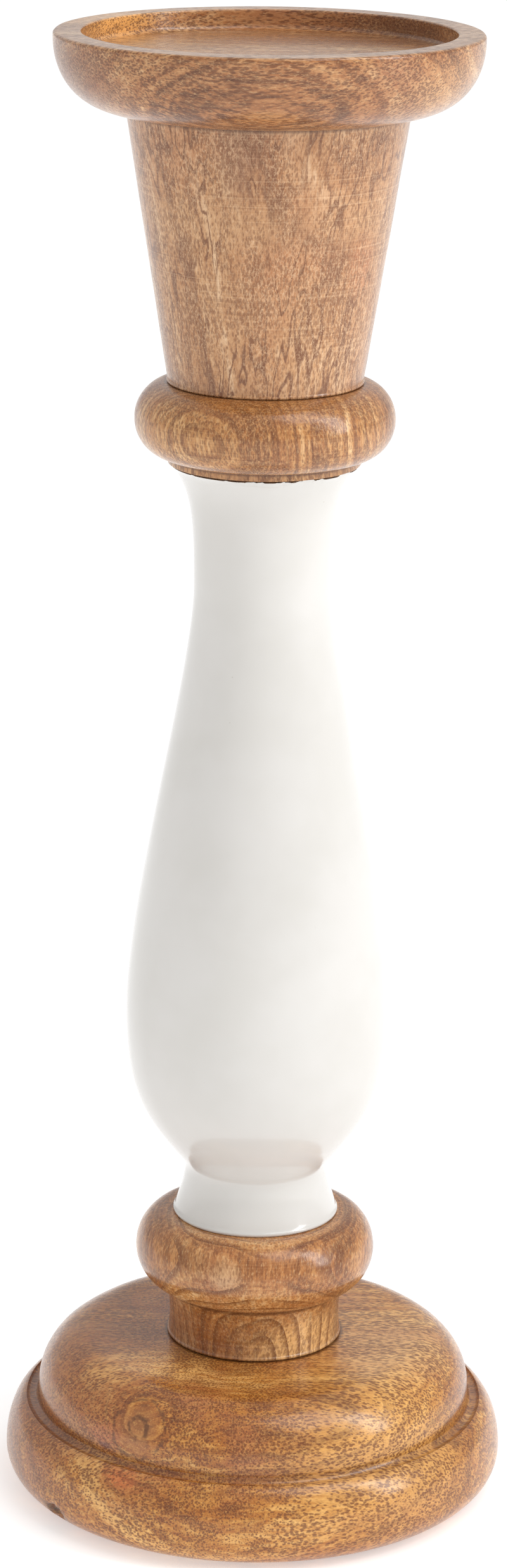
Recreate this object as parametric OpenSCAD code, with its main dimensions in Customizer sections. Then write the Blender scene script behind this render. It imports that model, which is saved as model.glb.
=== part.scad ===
// Turned wooden candlestick for one pillar candle.
// Five stacked wooden turnings and an enamelled baluster, clamped by one tie rod.
// Z is up, and the origin is the centre of the circle that the felt feet stand on.

/* [Base] */
// Widest diameter of the base
base_d = 154; // [125:1:190]
// How far the underside is drawn in from the widest line, each side
base_tuck = 11; // [6:0.5:16]
// Height of the widest line above the underside
widest_h = 10.5; // [6:0.5:16]
// Height of the shoulder above the widest line
shoulder_h = 16; // [10:0.5:24]
// Width that the shoulder curves inwards
shoulder_w = 8.5; // [7:0.1:12]
// Width from the widest line in to the upright wall of the dome
ledge_w = 10.2; // [10:0.1:14]
// Radius of the cove groove between the shoulder and the dome
groove_r = 2.05; // [1:0.05:3]
// Height of the dome's upright wall
dome_wall_h = 3; // [1:0.5:8]
// Height of the dome's curve
dome_curve_h = 17; // [12:0.5:24]
// Width of the dome's curve
dome_curve_w = 17; // [8:0.1:20]

/* [Neck and lower bead] */
// Diameter of the neck
neck_d = 52.4; // [40:0.2:64]
// Height of the neck, up to the underside of the bead
neck_h = 17; // [12:0.2:30]
// Radius of the fine rolled edge at the neck's foot
neck_roll_r = 0.7; // [0.3:0.1:1.5]
// How far the lower bead's centre circle stands out from the neck
lower_bead_offset = 0.8; // [0:0.1:4]
// How far the lower bead swells past its centre circle
lower_bead_swell = 9.7; // [5:0.1:14]
// Height of the lower bead
lower_bead_h = 23.2; // [14:0.2:32]

/* [Baluster] */
// Diameter of the baluster's foot
foot_d = 50.6; // [44:0.2:62]
// Diameter of the waist above the foot
waist_d = 43.8; // [36:0.2:54]
// Widest diameter of the bulb
bulb_d = 80.4; // [66:0.2:98]
// Diameter of the slim throat
throat_d = 41.2; // [34:0.2:50]
// Diameter of the flared lip
lip_d = 56; // [46:0.2:68]
// Height from the foot to the waist
foot_to_waist = 13.8; // [10:0.2:20]
// Height from the waist to the widest part of the bulb
waist_to_bulb = 52; // [42:0.5:64]
// Height from the bulb to the throat
bulb_to_throat = 132; // [106:1:160]
// Height from the throat to the lip
throat_to_lip = 37.8; // [30:0.2:46]
// Slope of the bulb's underside, from level
underside_slope = 50; // [44:1:58]
// Thickness of the enamel coat
enamel_t = 1.2; // [0.6:0.1:2]

/* [Upper bead ring] */
// Diameter of the ring's lower fillet
ring_fillet_d = 57.2; // [48:0.2:70]
// Height of the ring's lower fillet
ring_fillet_h = 2.2; // [1:0.1:5]
// How far the upper bead swells past its centre circle
upper_bead_swell = 9.9; // [5:0.1:14]
// Height of the upper bead
upper_bead_h = 21.8; // [14:0.2:32]

/* [Tapered collar] */
// Diameter of the collar's lower end
collar_low_d = 57.2; // [48:0.2:70]
// Diameter of the collar's upper end
collar_top_d = 82.8; // [68:0.2:100]
// Height of the collar
collar_h = 79.7; // [60:0.1:100]
// Radius of the fine rolled edge at the collar's lower end
collar_roll_r = 0.6; // [0.3:0.1:1.2]

/* [Candle dish] */
// Diameter of the recess that takes a pillar candle
recess_d = 108.6; // [90:0.2:131]
// Depth of the recess
recess_depth = 6; // [4:0.5:12]
// Width of the dish's rim
rim_w = 8.1; // [6:0.1:14]
// Thickness of wood left between the insert's hole and the recess
dish_cap_t = 2.3; // [1.5:0.1:6]
// Width of the level ledge around the collar
dish_ledge_w = 1; // [0.5:0.1:3]
// Height of the upright edge at the rim
rim_edge_h = 1.5; // [1:0.1:3]
// Radius inside the recess, where wall meets floor
recess_fillet_r = 1.5; // [0.5:0.1:3]
// Radius on the recess's upper edge
recess_edge_r = 0.5; // [0.2:0.1:1]
// Radius on the rim's outer edge
rim_edge_r = 1; // [0.5:0.1:2]

/* [Spigots and sockets] */
// Diameter of the neck's spigot, which enters the base
neck_spigot_d = 30; // [24:0.5:38]
// Length of the neck's spigot
neck_spigot_l = 12; // [8:0.5:16]
// Diameter of the baluster's spigot, which enters the lower bead
core_spigot_d = 28; // [22:0.5:34]
// Length of the baluster's spigot
core_spigot_l = 12; // [8:0.5:16]
// Diameter of the collar's lower spigot, which passes the ring and enters the baluster
collar_spigot_d = 34; // [26:0.5:41]
// Depth to which the collar's lower spigot enters the baluster
collar_spigot_l = 7.5; // [5:0.5:12]
// Diameter of the collar's upper spigot, which enters the dish
dish_spigot_d = 40; // [32:0.5:48]
// Length of the collar's upper spigot
dish_spigot_l = 5.5; // [4:0.5:7]
// Clearance round a spigot in its socket
spigot_gap = 0.15; // [0.05:0.05:0.3]
// Clearance past the end of a spigot
socket_end_gap = 0.5; // [0.2:0.1:1]

/* [Tie rod and fastenings] */
// Diameter of the tie rod
rod_d = 8; // [6:0.5:10]
// Clearance round the tie rod in the wood
rod_gap = 0.5; // [0.3:0.1:1]
// Clearance of the rod in the nut and the insert
thread_gap = 0.05; // [0.02:0.01:0.1]
// Length of the rod that shows below the nut
rod_tail = 2.5; // [1:0.5:4]
// Diameter of the insert's body in the dish
insert_d = 12.5; // [11.5:0.5:16]
// Length of the insert's body
insert_l = 6.5; // [5:0.5:8]
// Diameter of the insert's flange
insert_flange_d = 17; // [15:0.5:22]
// Thickness of the insert's flange
insert_flange_t = 1.2; // [0.8:0.1:2]
// Clearance round the insert in the wood
insert_gap = 0.1; // [0.05:0.05:0.2]
// Diameter of the pocket under the base
pocket_d = 30; // [26:0.5:38]
// Depth of the pocket under the base
pocket_depth = 16; // [14:0.5:20]
// Diameter of the flat washer
washer_d = 24; // [20:0.5:25]
// Thickness of the flat washer
washer_t = 2; // [1:0.1:2.5]
// Clearance of the washers round the rod
washer_gap = 0.2; // [0.1:0.05:0.4]
// Outer diameter of the spring washer
spring_washer_d = 14.8; // [12.5:0.1:18]
// Thickness of the spring washer
spring_washer_t = 2; // [1:0.1:2.5]
// Angle of the split in the spring washer
spring_split = 14; // [6:1:24]
// Width of the nut across its flats
nut_af = 13; // [12:0.5:17]
// Height of the nut
nut_h = 6.5; // [4:0.5:8]

/* [Felt feet] */
// Diameter of a felt foot
pad_d = 16; // [12:0.5:22]
// Thickness of a felt foot
pad_t = 2; // [1.5:0.1:4]
// Depth to which a felt foot is let into the base
pad_sink = 1; // [0.5:0.1:1.4]
// Number of felt feet
pad_count = 4; // [3:1:6]
// Width of wood left outside a felt foot
pad_margin = 5; // [3:0.5:10]
// Clearance round a felt foot in its recess
pad_gap = 0.2; // [0.1:0.05:0.4]

/* [Hidden] */
$fn = 96;
eps = 0.01;

// Levels of the joints between the stacked pieces
base_z = pad_t - pad_sink;
groove_rise = 0.5;
groove_z = base_z + widest_h + shoulder_h + groove_rise;
neck_z = groove_z + dome_wall_h + dome_curve_h;
bead_z = neck_z + neck_h;
baluster_z = bead_z + lower_bead_h;
waist_z = baluster_z + foot_to_waist;
bulb_z = waist_z + waist_to_bulb;
throat_z = bulb_z + bulb_to_throat;
ring_z = throat_z + throat_to_lip;
collar_z = ring_z + ring_fillet_h + upper_bead_h;
dish_z = collar_z + collar_h;

// Levels of the fastenings, from the ceiling of the pocket down and the dish's socket up
pocket_z = base_z + pocket_depth;
spring_z = pocket_z - washer_t;
nut_top_z = spring_z - spring_washer_t;
nut_z = nut_top_z - nut_h;
rod_low_z = nut_z - rod_tail;
dish_socket_z = dish_z + dish_spigot_l + socket_end_gap;
insert_z = dish_socket_z + insert_flange_t;
rod_top_z = insert_z + insert_l;
insert_hole_z = rod_top_z + socket_end_gap;

// Levels of the dish's recess and rim
recess_z = insert_hole_z + dish_cap_t;
rim_z = recess_z + recess_depth;

// How the baluster's curves leave and reach their ends
foot_flare = [0.7, 3.2];
waist_flare = [0.4, 6];
waist_corner = [3, 6.35];
waist_rise = 2.4;
underside_reach = 17.5;
bulb_reach = 23.5;
bulb_share = 0.26;
throat_share = 0.195;
lip_share = 0.66;
lip_flare = [1.8, 8];

// How far the neck flares under its bead
neck_flare = 1.2;
// Share of the dish's side that each end of its curve holds
dish_fullness = 0.6;

pad_ring_r = base_d / 2 - base_tuck - pad_margin - pad_d / 2;
end_chamfer = 0.8;

base_wood = "#b27a4b";
neck_wood = "#b98350";
core_wood = "#c79c6c";
ring_wood = "#ad7a4c";
collar_wood = "#c4976a";
dish_wood = "#b9814f";
enamel_white = "#f1efe9";
steel = "#b9bcc0";
felt_grey = "#5a5652";

// Points along an ellipse's arc, by angle from +X
function arc(centre, rx, ry, from, to, steps) =
    [for (i = [0 : steps])
        let (a = from + (to - from) * i / steps)
        [centre[0] + rx * cos(a), centre[1] + ry * sin(a)]];

// Points along a cubic curve with two handles
function curve(p0, p1, p2, p3, steps) =
    [for (i = [0 : steps])
        let (t = i / steps, u = 1 - t)
        u * u * u * p0 + 3 * u * u * t * p1 + 3 * u * t * t * p2 + t * t * t * p3];

// The same outline a wall's thickness further in, with its two ends kept level
function inset(line, t) =
    [for (i = [0 : len(line) - 1])
        let (last = len(line) - 1,
             d = line[min(i + 1, last)] - line[max(i - 1, 0)],
             n = [d[1], -d[0]] / norm(d))
        i == 0 || i == last ? line[i] - [t, 0] : line[i] - t * n];

function flip(line) = [for (i = [len(line) - 1 : -1 : 0]) line[i]];

function base_outline() =
    let (r = base_d / 2, foot_r = r - base_tuck, wide_z = base_z + widest_h,
         groove_c = [r - ledge_w + groove_r, groove_z],
         crest = acos((groove_c[0] + groove_r * cos(24) - r + shoulder_w) / shoulder_w),
         dome_r = r - ledge_w - dome_curve_w)
    concat(
        [[0, base_z]],
        arc([foot_r, wide_z], base_tuck, widest_h, -90, 0, 10),
        arc([r - shoulder_w, wide_z], shoulder_w, shoulder_h, 8, crest, 10),
        arc(groove_c, groove_r, groove_r, -30, -180, 10),
        arc([dome_r, groove_z + dome_wall_h], dome_curve_w, dome_curve_h, 0, 90, 14),
        [[0, neck_z]]
    );

function neck_outline() =
    let (r = neck_d / 2, bead_r = r + lower_bead_offset, bead_c = bead_z + lower_bead_h / 2,
         join = [bead_r + lower_bead_swell * cos(-80), bead_c + lower_bead_h / 2 * sin(-80)])
    concat(
        [[0, neck_z]],
        arc([r, neck_z + neck_roll_r], neck_roll_r, neck_roll_r, -90, 60, 5),
        curve([r, neck_z + 0.3 * neck_h], [r, bead_z - 0.3 * neck_h],
              [r + neck_flare / 3, bead_z - neck_flare], join, 8),
        arc([bead_r, bead_c], lower_bead_swell, lower_bead_h / 2, -76, 90, 20),
        [[0, baluster_z]]
    );

// The baluster's outside from its foot to its lip
function baluster_side() =
    let (foot_r = foot_d / 2, waist_r = waist_d / 2, bulb_r = bulb_d / 2,
         throat_r = throat_d / 2, lip_r = lip_d / 2,
         corner = [waist_r, waist_z] + waist_corner,
         lean = [cos(underside_slope), sin(underside_slope)],
         foot = curve([foot_r, baluster_z], [foot_r, baluster_z] + [-foot_flare[0], foot_flare[1]],
                      [waist_r, waist_z] + [waist_flare[0], -waist_flare[1]], [waist_r, waist_z], 6),
         hollow = curve([waist_r, waist_z], [waist_r, waist_z + waist_rise],
                        corner - waist_corner[0] * lean, corner, 5),
         underside = curve(corner, corner + underside_reach * lean,
                           [bulb_r, bulb_z - bulb_reach], [bulb_r, bulb_z], 12),
         rise = curve([bulb_r, bulb_z], [bulb_r, bulb_z + bulb_share * bulb_to_throat],
                      [throat_r, throat_z - throat_share * bulb_to_throat],
                      [throat_r, throat_z], 20),
         flare = curve([throat_r, throat_z], [throat_r, throat_z + lip_share * throat_to_lip],
                       [throat_r + lip_flare[0], ring_z - lip_flare[1]], [lip_r, ring_z], 10))
    concat([for (part = [foot, hollow, underside, rise])
                for (i = [0 : len(part) - 2]) part[i]], flare);

function ring_outline() =
    let (r = ring_fillet_d / 2, bead_low = ring_z + ring_fillet_h)
    concat(
        [[0, ring_z], [r, ring_z]],
        arc([r, bead_low + upper_bead_h / 2], upper_bead_swell, upper_bead_h / 2, -90, 90, 22),
        [[0, collar_z]]
    );

function collar_outline() =
    let (r = collar_low_d / 2)
    concat(
        [[0, collar_z]],
        arc([r - 0.1, collar_z + collar_roll_r], collar_roll_r, collar_roll_r, -90, 50, 5),
        [[r + 0.3, collar_z + 2 * collar_roll_r], [collar_top_d / 2, dish_z], [0, dish_z]]
    );

function dish_outline() =
    let (r = recess_d / 2 + rim_w, level_r = collar_top_d / 2 + dish_ledge_w,
         bore_r = recess_d / 2, side_z = rim_z - rim_edge_h)
    concat(
        [[0, dish_z]],
        curve([level_r, dish_z], [level_r + dish_fullness * (r - level_r), dish_z],
              [r, side_z - dish_fullness * (side_z - dish_z)], [r, side_z], 18),
        arc([r - rim_edge_r, rim_z - rim_edge_r], rim_edge_r, rim_edge_r, 0, 90, 5),
        arc([bore_r + recess_edge_r, rim_z - recess_edge_r], recess_edge_r, recess_edge_r, 90, 180, 4),
        arc([bore_r - recess_fillet_r, recess_z + recess_fillet_r],
            recess_fillet_r, recess_fillet_r, 0, -90, 5),
        [[0, recess_z]]
    );

module turned(outline) {
    rotate_extrude() polygon(outline);
}

// A hole up or down the axis, from one level to another
module axial_hole(d, low, high) {
    translate([0, 0, low]) cylinder(d = d, h = high - low);
}

module rod_hole(low, high) {
    axial_hole(rod_d + 2 * rod_gap, low - eps, high + eps);
}

// A spigot that stands down from a level
module spigot(d, top, length) {
    translate([0, 0, top - length]) cylinder(d = d, h = length + eps);
}

// The socket that takes a spigot, sunk down from a level
module socket(d, top, length) {
    axial_hole(d + 2 * spigot_gap, top - length - socket_end_gap, top + eps);
}

module at_feet() {
    for (i = [0 : pad_count - 1])
        rotate([0, 0, (i + 0.5) * 360 / pad_count]) translate([pad_ring_r, 0, 0]) children();
}

module base() {
    color(base_wood) difference() {
        turned(base_outline());
        socket(neck_spigot_d, neck_z, neck_spigot_l);
        rod_hole(base_z, neck_z);
        axial_hole(pocket_d, base_z - eps, pocket_z);
        at_feet() axial_hole(pad_d + 2 * pad_gap, base_z - eps, pad_t);
    }
}

module lower_bead_neck() {
    color(neck_wood) difference() {
        union() {
            turned(neck_outline());
            spigot(neck_spigot_d, neck_z, neck_spigot_l);
        }
        socket(core_spigot_d, baluster_z, core_spigot_l);
        rod_hole(neck_z - neck_spigot_l, baluster_z);
    }
}

module baluster_core() {
    color(core_wood) difference() {
        union() {
            turned(concat([[0, baluster_z]], inset(baluster_side(), enamel_t), [[0, ring_z]]));
            spigot(core_spigot_d, baluster_z, core_spigot_l);
        }
        socket(collar_spigot_d, ring_z, collar_spigot_l);
        rod_hole(baluster_z - core_spigot_l, ring_z);
    }
}

module enamel_coat() {
    side = baluster_side();
    color(enamel_white) turned(concat(side, flip(inset(side, enamel_t))));
}

module upper_bead_ring() {
    color(ring_wood) difference() {
        turned(ring_outline());
        axial_hole(collar_spigot_d + 2 * spigot_gap, ring_z - eps, collar_z + eps);
    }
}

module tapered_collar() {
    low_spigot_l = collar_z - ring_z + collar_spigot_l;
    color(collar_wood) difference() {
        union() {
            turned(collar_outline());
            spigot(collar_spigot_d, collar_z, low_spigot_l);
            translate([0, 0, dish_z - eps]) cylinder(d = dish_spigot_d, h = dish_spigot_l + eps);
        }
        rod_hole(collar_z - low_spigot_l, dish_z + dish_spigot_l);
    }
}

module candle_dish() {
    color(dish_wood) difference() {
        turned(dish_outline());
        axial_hole(dish_spigot_d + 2 * spigot_gap, dish_z - eps, dish_socket_z);
        axial_hole(insert_flange_d + 2 * insert_gap, dish_z - eps, insert_z);
        axial_hole(insert_d + 2 * insert_gap, dish_z - eps, insert_hole_z);
    }
}

module tie_rod() {
    r = rod_d / 2;
    color(steel) turned([
        [0, rod_low_z], [r - end_chamfer, rod_low_z], [r, rod_low_z + end_chamfer],
        [r, rod_top_z - end_chamfer], [r - end_chamfer, rod_top_z], [0, rod_top_z]
    ]);
}

module insert_nut() {
    color(steel) difference() {
        union() {
            axial_hole(insert_flange_d, dish_socket_z, insert_z);
            axial_hole(insert_d, dish_socket_z, rod_top_z);
        }
        axial_hole(rod_d + 2 * thread_gap, dish_socket_z - eps, rod_top_z + eps);
    }
}

module flat_washer() {
    color(steel) difference() {
        axial_hole(washer_d, spring_z, pocket_z);
        axial_hole(rod_d + 2 * washer_gap, spring_z - eps, pocket_z + eps);
    }
}

module spring_washer() {
    inner_r = rod_d / 2 + washer_gap;
    color(steel) rotate([0, 0, spring_split / 2])
        rotate_extrude(angle = 360 - spring_split)
            translate([inner_r, nut_top_z]) square([spring_washer_d / 2 - inner_r, spring_washer_t]);
}

module hex_nut() {
    corner_r = nut_af / 2 / cos(30);
    flat_r = nut_af / 2;
    cut = (corner_r - flat_r) * tan(30);
    color(steel) difference() {
        intersection() {
            translate([0, 0, nut_z]) cylinder(r = corner_r, h = nut_h, $fn = 6);
            turned([
                [0, nut_z], [flat_r, nut_z], [corner_r, nut_z + cut],
                [corner_r, nut_top_z - cut], [flat_r, nut_top_z], [0, nut_top_z]
            ]);
        }
        axial_hole(rod_d + 2 * thread_gap, nut_z - eps, nut_top_z + eps);
    }
}

module felt_feet() {
    color(felt_grey) at_feet() cylinder(d = pad_d, h = pad_t);
}

base();
lower_bead_neck();
baluster_core();
enamel_coat();
upper_bead_ring();
tapered_collar();
candle_dish();
tie_rod();
insert_nut();
flat_washer();
spring_washer();
hex_nut();
felt_feet();
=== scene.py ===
import math
import bpy
from mathutils import Matrix, Vector


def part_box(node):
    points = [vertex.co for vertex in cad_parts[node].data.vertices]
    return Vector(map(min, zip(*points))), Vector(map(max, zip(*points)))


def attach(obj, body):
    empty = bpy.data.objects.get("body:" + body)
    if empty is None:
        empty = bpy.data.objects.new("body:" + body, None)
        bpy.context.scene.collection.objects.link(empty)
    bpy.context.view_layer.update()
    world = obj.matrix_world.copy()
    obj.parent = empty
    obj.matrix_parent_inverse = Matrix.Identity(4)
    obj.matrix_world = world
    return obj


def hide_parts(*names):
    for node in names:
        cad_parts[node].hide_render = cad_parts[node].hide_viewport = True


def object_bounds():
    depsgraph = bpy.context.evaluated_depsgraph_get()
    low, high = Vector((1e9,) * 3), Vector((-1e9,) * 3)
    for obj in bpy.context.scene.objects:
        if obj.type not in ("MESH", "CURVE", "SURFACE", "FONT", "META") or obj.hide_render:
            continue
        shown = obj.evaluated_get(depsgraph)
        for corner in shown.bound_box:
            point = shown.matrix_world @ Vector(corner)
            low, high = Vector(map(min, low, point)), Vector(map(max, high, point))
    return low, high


# A turned wooden candlestick: lacquered wood with an enamelled baluster, on felt feet.
# Lengths are worked out in millimetres and made metres where a mesh is made.

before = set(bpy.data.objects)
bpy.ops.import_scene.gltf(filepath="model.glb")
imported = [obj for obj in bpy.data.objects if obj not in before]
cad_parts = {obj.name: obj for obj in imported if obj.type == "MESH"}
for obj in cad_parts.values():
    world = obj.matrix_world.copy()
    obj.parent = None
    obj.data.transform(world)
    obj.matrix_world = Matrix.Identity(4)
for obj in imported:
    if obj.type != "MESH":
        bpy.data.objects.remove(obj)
cad_low, cad_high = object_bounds()

MM = 0.001
TURN = 2 * math.pi


# ---------------------------------------------------------------- node trees

class Value:
    """A socket of a node tree, so that maths on it reads as an expression."""

    def __init__(self, tree, end):
        self.tree = tree
        self.end = end

    def maths(self, operation, *values, clamp=False):
        settings = {"operation": operation, "use_clamp": clamp}
        return self.tree.add("ShaderNodeMath", settings, dict(enumerate(values)))

    def other(self, output):
        """Another output of the node that this value comes from."""
        return Value(self.tree, self.end.node.outputs[output])

    def __add__(self, other):
        return self.maths("ADD", self, other)

    def __sub__(self, other):
        return self.maths("SUBTRACT", self, other)

    def __rsub__(self, other):
        return self.maths("SUBTRACT", other, self)

    def __mul__(self, other):
        return self.maths("MULTIPLY", self, other)

    def __rmul__(self, other):
        return self.maths("MULTIPLY", other, self)

    def __truediv__(self, other):
        return self.maths("DIVIDE", self, other)

    def floor(self):
        return self.maths("FLOOR", self)

    def root(self):
        return self.maths("SQRT", self)

    def cos(self):
        return self.maths("COSINE", self)

    def sin(self):
        return self.maths("SINE", self)

    def size(self):
        return self.maths("ABSOLUTE", self)

    def least(self, other):
        return self.maths("MINIMUM", self, other)

    def above(self, other):
        return self.maths("GREATER_THAN", self, other)

    def clamped(self):
        return self.maths("ADD", self, 0.0, clamp=True)


class Tree:
    """Adds nodes to a node tree, one call for each node."""

    def __init__(self, tree):
        self.tree = tree

    def add(self, kind, settings=None, inputs=None, output=0):
        node = self.tree.nodes.new(kind)
        for name, value in (settings or {}).items():
            if name == "stops":
                self.set_stops(node.color_ramp, value)
            else:
                setattr(node, name, value)
        for name, value in (inputs or {}).items():
            if isinstance(value, Value):
                self.tree.links.new(value.end, node.inputs[name])
            else:
                node.inputs[name].default_value = value
        return Value(self, node.outputs[output]) if node.outputs else None

    @staticmethod
    def set_stops(ramp, stops):
        while len(ramp.elements) < len(stops):
            ramp.elements.new(1.0)
        for element, (place, colour) in zip(ramp.elements, stops):
            element.position = place
            element.color = (*colour, 1.0)

    def vector(self, x, y, z):
        return self.add("ShaderNodeCombineXYZ", {}, {0: x, 1: y, 2: z})

    def parts(self, vector):
        x = self.add("ShaderNodeSeparateXYZ", {}, {0: vector})
        return x, x.other(1), x.other(2)

    def vectors(self, operation, a, b, output=0):
        return self.add("ShaderNodeVectorMath", {"operation": operation}, {0: a, 1: b}, output)

    def scaled(self, vector, size):
        return self.add("ShaderNodeVectorMath", {"operation": "SCALE"}, {0: vector, "Scale": size})

    def length(self, vector):
        return self.add("ShaderNodeVectorMath", {"operation": "LENGTH"}, {0: vector}, "Value")

    def span(self, value, low, high, to_low=0.0, to_high=1.0):
        """The value's place between low and high, held at the ends."""
        inputs = {"Value": value, "From Min": low, "From Max": high,
                  "To Min": to_low, "To Max": to_high}
        return self.add("ShaderNodeMapRange", {"interpolation_type": "SMOOTHSTEP"}, inputs)

    def noise(self, vector, detail=2.0, roughness=0.5, output="Fac"):
        inputs = {"Vector": vector, "Scale": 1.0, "Detail": detail, "Roughness": roughness}
        return self.add("ShaderNodeTexNoise", {}, inputs, output)

    def blend(self, share, a, b):
        """Colour a turning into colour b as share goes from 0 to 1."""
        inputs = {0: share}
        for place, colour in ((6, a), (7, b)):
            inputs[place] = colour if isinstance(colour, Value) else (*colour, 1.0)
        return self.add("ShaderNodeMix", {"data_type": "RGBA", "blend_type": "MIX"}, inputs, 2)


def new_material(name):
    material = bpy.data.materials.new(name)
    material.use_nodes = True
    material.node_tree.nodes.clear()
    return material, Tree(material.node_tree)


def finish_material(tree, inputs):
    shader = tree.add("ShaderNodeBsdfPrincipled", {}, inputs)
    tree.add("ShaderNodeOutputMaterial", {}, {"Surface": shader})


def bumped(tree, height):
    """A normal from a height in millimetres."""
    return tree.add("ShaderNodeBump", {}, {"Strength": 1.0, "Distance": MM, "Height": height})


def spot(tree, place, centre, radii, ragged):
    """1 inside an oval with an uneven edge, falling to 0 outside it; in millimetres."""
    size = [1 / r for r in radii]
    shift = [-c / r for c, r in zip(centre, radii)]
    local = tree.add("ShaderNodeMapping", {}, {"Vector": place, "Location": shift, "Scale": size})
    uneven = tree.noise(tree.scaled(place, 0.3), 3.0, 0.6) - 0.5
    away = tree.length(local) + uneven * ragged
    return tree.span(away, 1.0, 0.25)


# ---------------------------------------------------------------- finishes

# Dark brown of the pores and the knot, also used for the painted shade in corners
PORE_AND_SHADE_BROWN = (0.10, 0.034, 0.012)


class Log:
    """The log that a piece was cut from, and patterns that run along it; lengths in millimetres."""

    def __init__(self, tree, place, turn, pith, dive, seed):
        self.tree = tree
        self.seed = seed
        self.place = tree.add("ShaderNodeMapping", {}, {
            "Vector": place, "Location": (-pith[0], -pith[1], 0.0),
            "Rotation": [math.radians(a) for a in turn]})
        if dive:
            start, end, more = dive
            plunge = tree.span(tree.parts(self.place)[2], start, end) * more
            self.place = tree.vectors("ADD", self.place, tree.vector(0.0, 0.0, plunge))

    def cells(self, across, run, shift, base=None):
        """The place counted in cells of a given width, and a given length along the log."""
        sized = self.tree.vectors("MULTIPLY", base or self.place, (1 / across, 1 / across, 1 / run))
        moved = (shift + self.seed * 5.3, shift * 2.3, shift * 0.7 + self.seed * 11.9)
        return self.tree.vectors("ADD", sized, moved)

    def noise(self, across, run, shift, detail, roughness, base=None):
        return self.tree.noise(self.cells(across, run, shift, base), detail, roughness)

    def strayed(self, base, across, run, reach, shift):
        """A place moved to and fro, by up to half the reach."""
        wave = self.tree.noise(self.cells(across, run, shift), 1.0, 0.4, "Color")
        level = self.tree.vectors("SUBTRACT", wave, (0.5, 0.5, 0.5))
        return self.tree.vectors("ADD", base, self.tree.scaled(level, reach))


def ridge(tree, value, width):
    """1 along the lines where a noise crosses its middle."""
    return tree.span((value - 0.5).size(), width, width * 0.25)


def ring_colour(t, log, bent, ring_at, ring, tones):
    """The ground: rings, and streaks along the grain."""
    x, y, z = t.parts(bent)
    rings = t.noise(t.vector(ring_at / ring, (x + y) / 60 + log.seed, z / 240), 4.0, 0.62)
    bands = t.noise(t.vector(ring_at / (ring * 5), (x - y) / 90 + log.seed, z / 300), 1.0, 0.5)
    streaks = log.noise(1.5, 22.0, 1.3, 3.0, 0.62)
    tone = (t.span(rings, 0.3, 0.7) * 0.42 + t.span(bands, 0.34, 0.66) * 0.34
            + t.span(streaks, 0.28, 0.72) * 0.34 - 0.05)
    stops = list(zip((0.14, 0.4, 0.62, 0.9), tones))
    return t.add("ShaderNodeValToRGB", {"stops": stops}, {0: tone}, "Color")


def long_lines(t, log, bent, ring_at, ring, clouds, straight):
    """How dark the long lines are, along the fibres or at the end of each season's growth."""
    if straight:
        line = ridge(t, log.noise(ring, 30.0, 5.2, 1.0, 0.5, bent), 0.055)
    else:
        years = ring_at / (ring * 1.5) + clouds * 0.4
        line = t.span(years - years.floor(), 0.5, 1.0)
    return line * t.span(log.noise(12.0, 30.0, 7.1, 1.0, 0.5), 0.32, 0.58)


def brown_flecks(t, log, fleck, run, crowd):
    """Dots and dashes a little astray from even spacing."""
    astray = log.strayed(log.place, fleck * 1.4, run, fleck * 1.3, 8.3)
    dashes = t.add("ShaderNodeTexVoronoi", {}, {
        "Vector": log.cells(fleck, run, 4.4, astray), "Scale": 1.0})
    return t.span(dashes - crowd * 0.2, 0.5, 0.14) * t.span(crowd, 0.0, 0.3)


def open_pores(t, log, crowd):
    """Narrow dark pores, fewer than the flecks."""
    tubes = t.add("ShaderNodeTexVoronoi", {}, {"Vector": log.cells(1.1, 7.0, 0.9), "Scale": 1.0})
    bore = (t.parts(tubes.other("Color"))[1] * 0.16 + 0.03) * crowd
    return ((bore - tubes) / (bore * 0.45)).clamped()


def knot_marks(t, place, from_knot):
    """The knot's broken heart and the thin outline round it."""
    heart_r, rim_r = 3.3, 9.0
    broken = t.span(t.noise(t.scaled(place, 0.28), 2.0, 0.6), 0.38, 0.56)
    heart = t.span((from_knot - heart_r).size(), 1.2, 0.3) * broken
    rim = t.span((from_knot - rim_r).size(), 0.8, 0.2) * broken * 0.8
    return (heart + rim).clamped()


# Painted shade: darkens the colour in corners and joints round the piece, where shade falls
def painted_shade_in_corners(t, place, colour, shade_creases):
    x, y, z = t.parts(place)
    out = (x * x + y * y).root()
    for radius, level, size in shade_creases:
        off_r, off_z = out - radius, z - level
        near = t.span((off_r * off_r + off_z * off_z).root(), size, size * 0.25)
        colour = t.blend(near * 0.7, colour, PORE_AND_SHADE_BROWN)
    return colour


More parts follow.
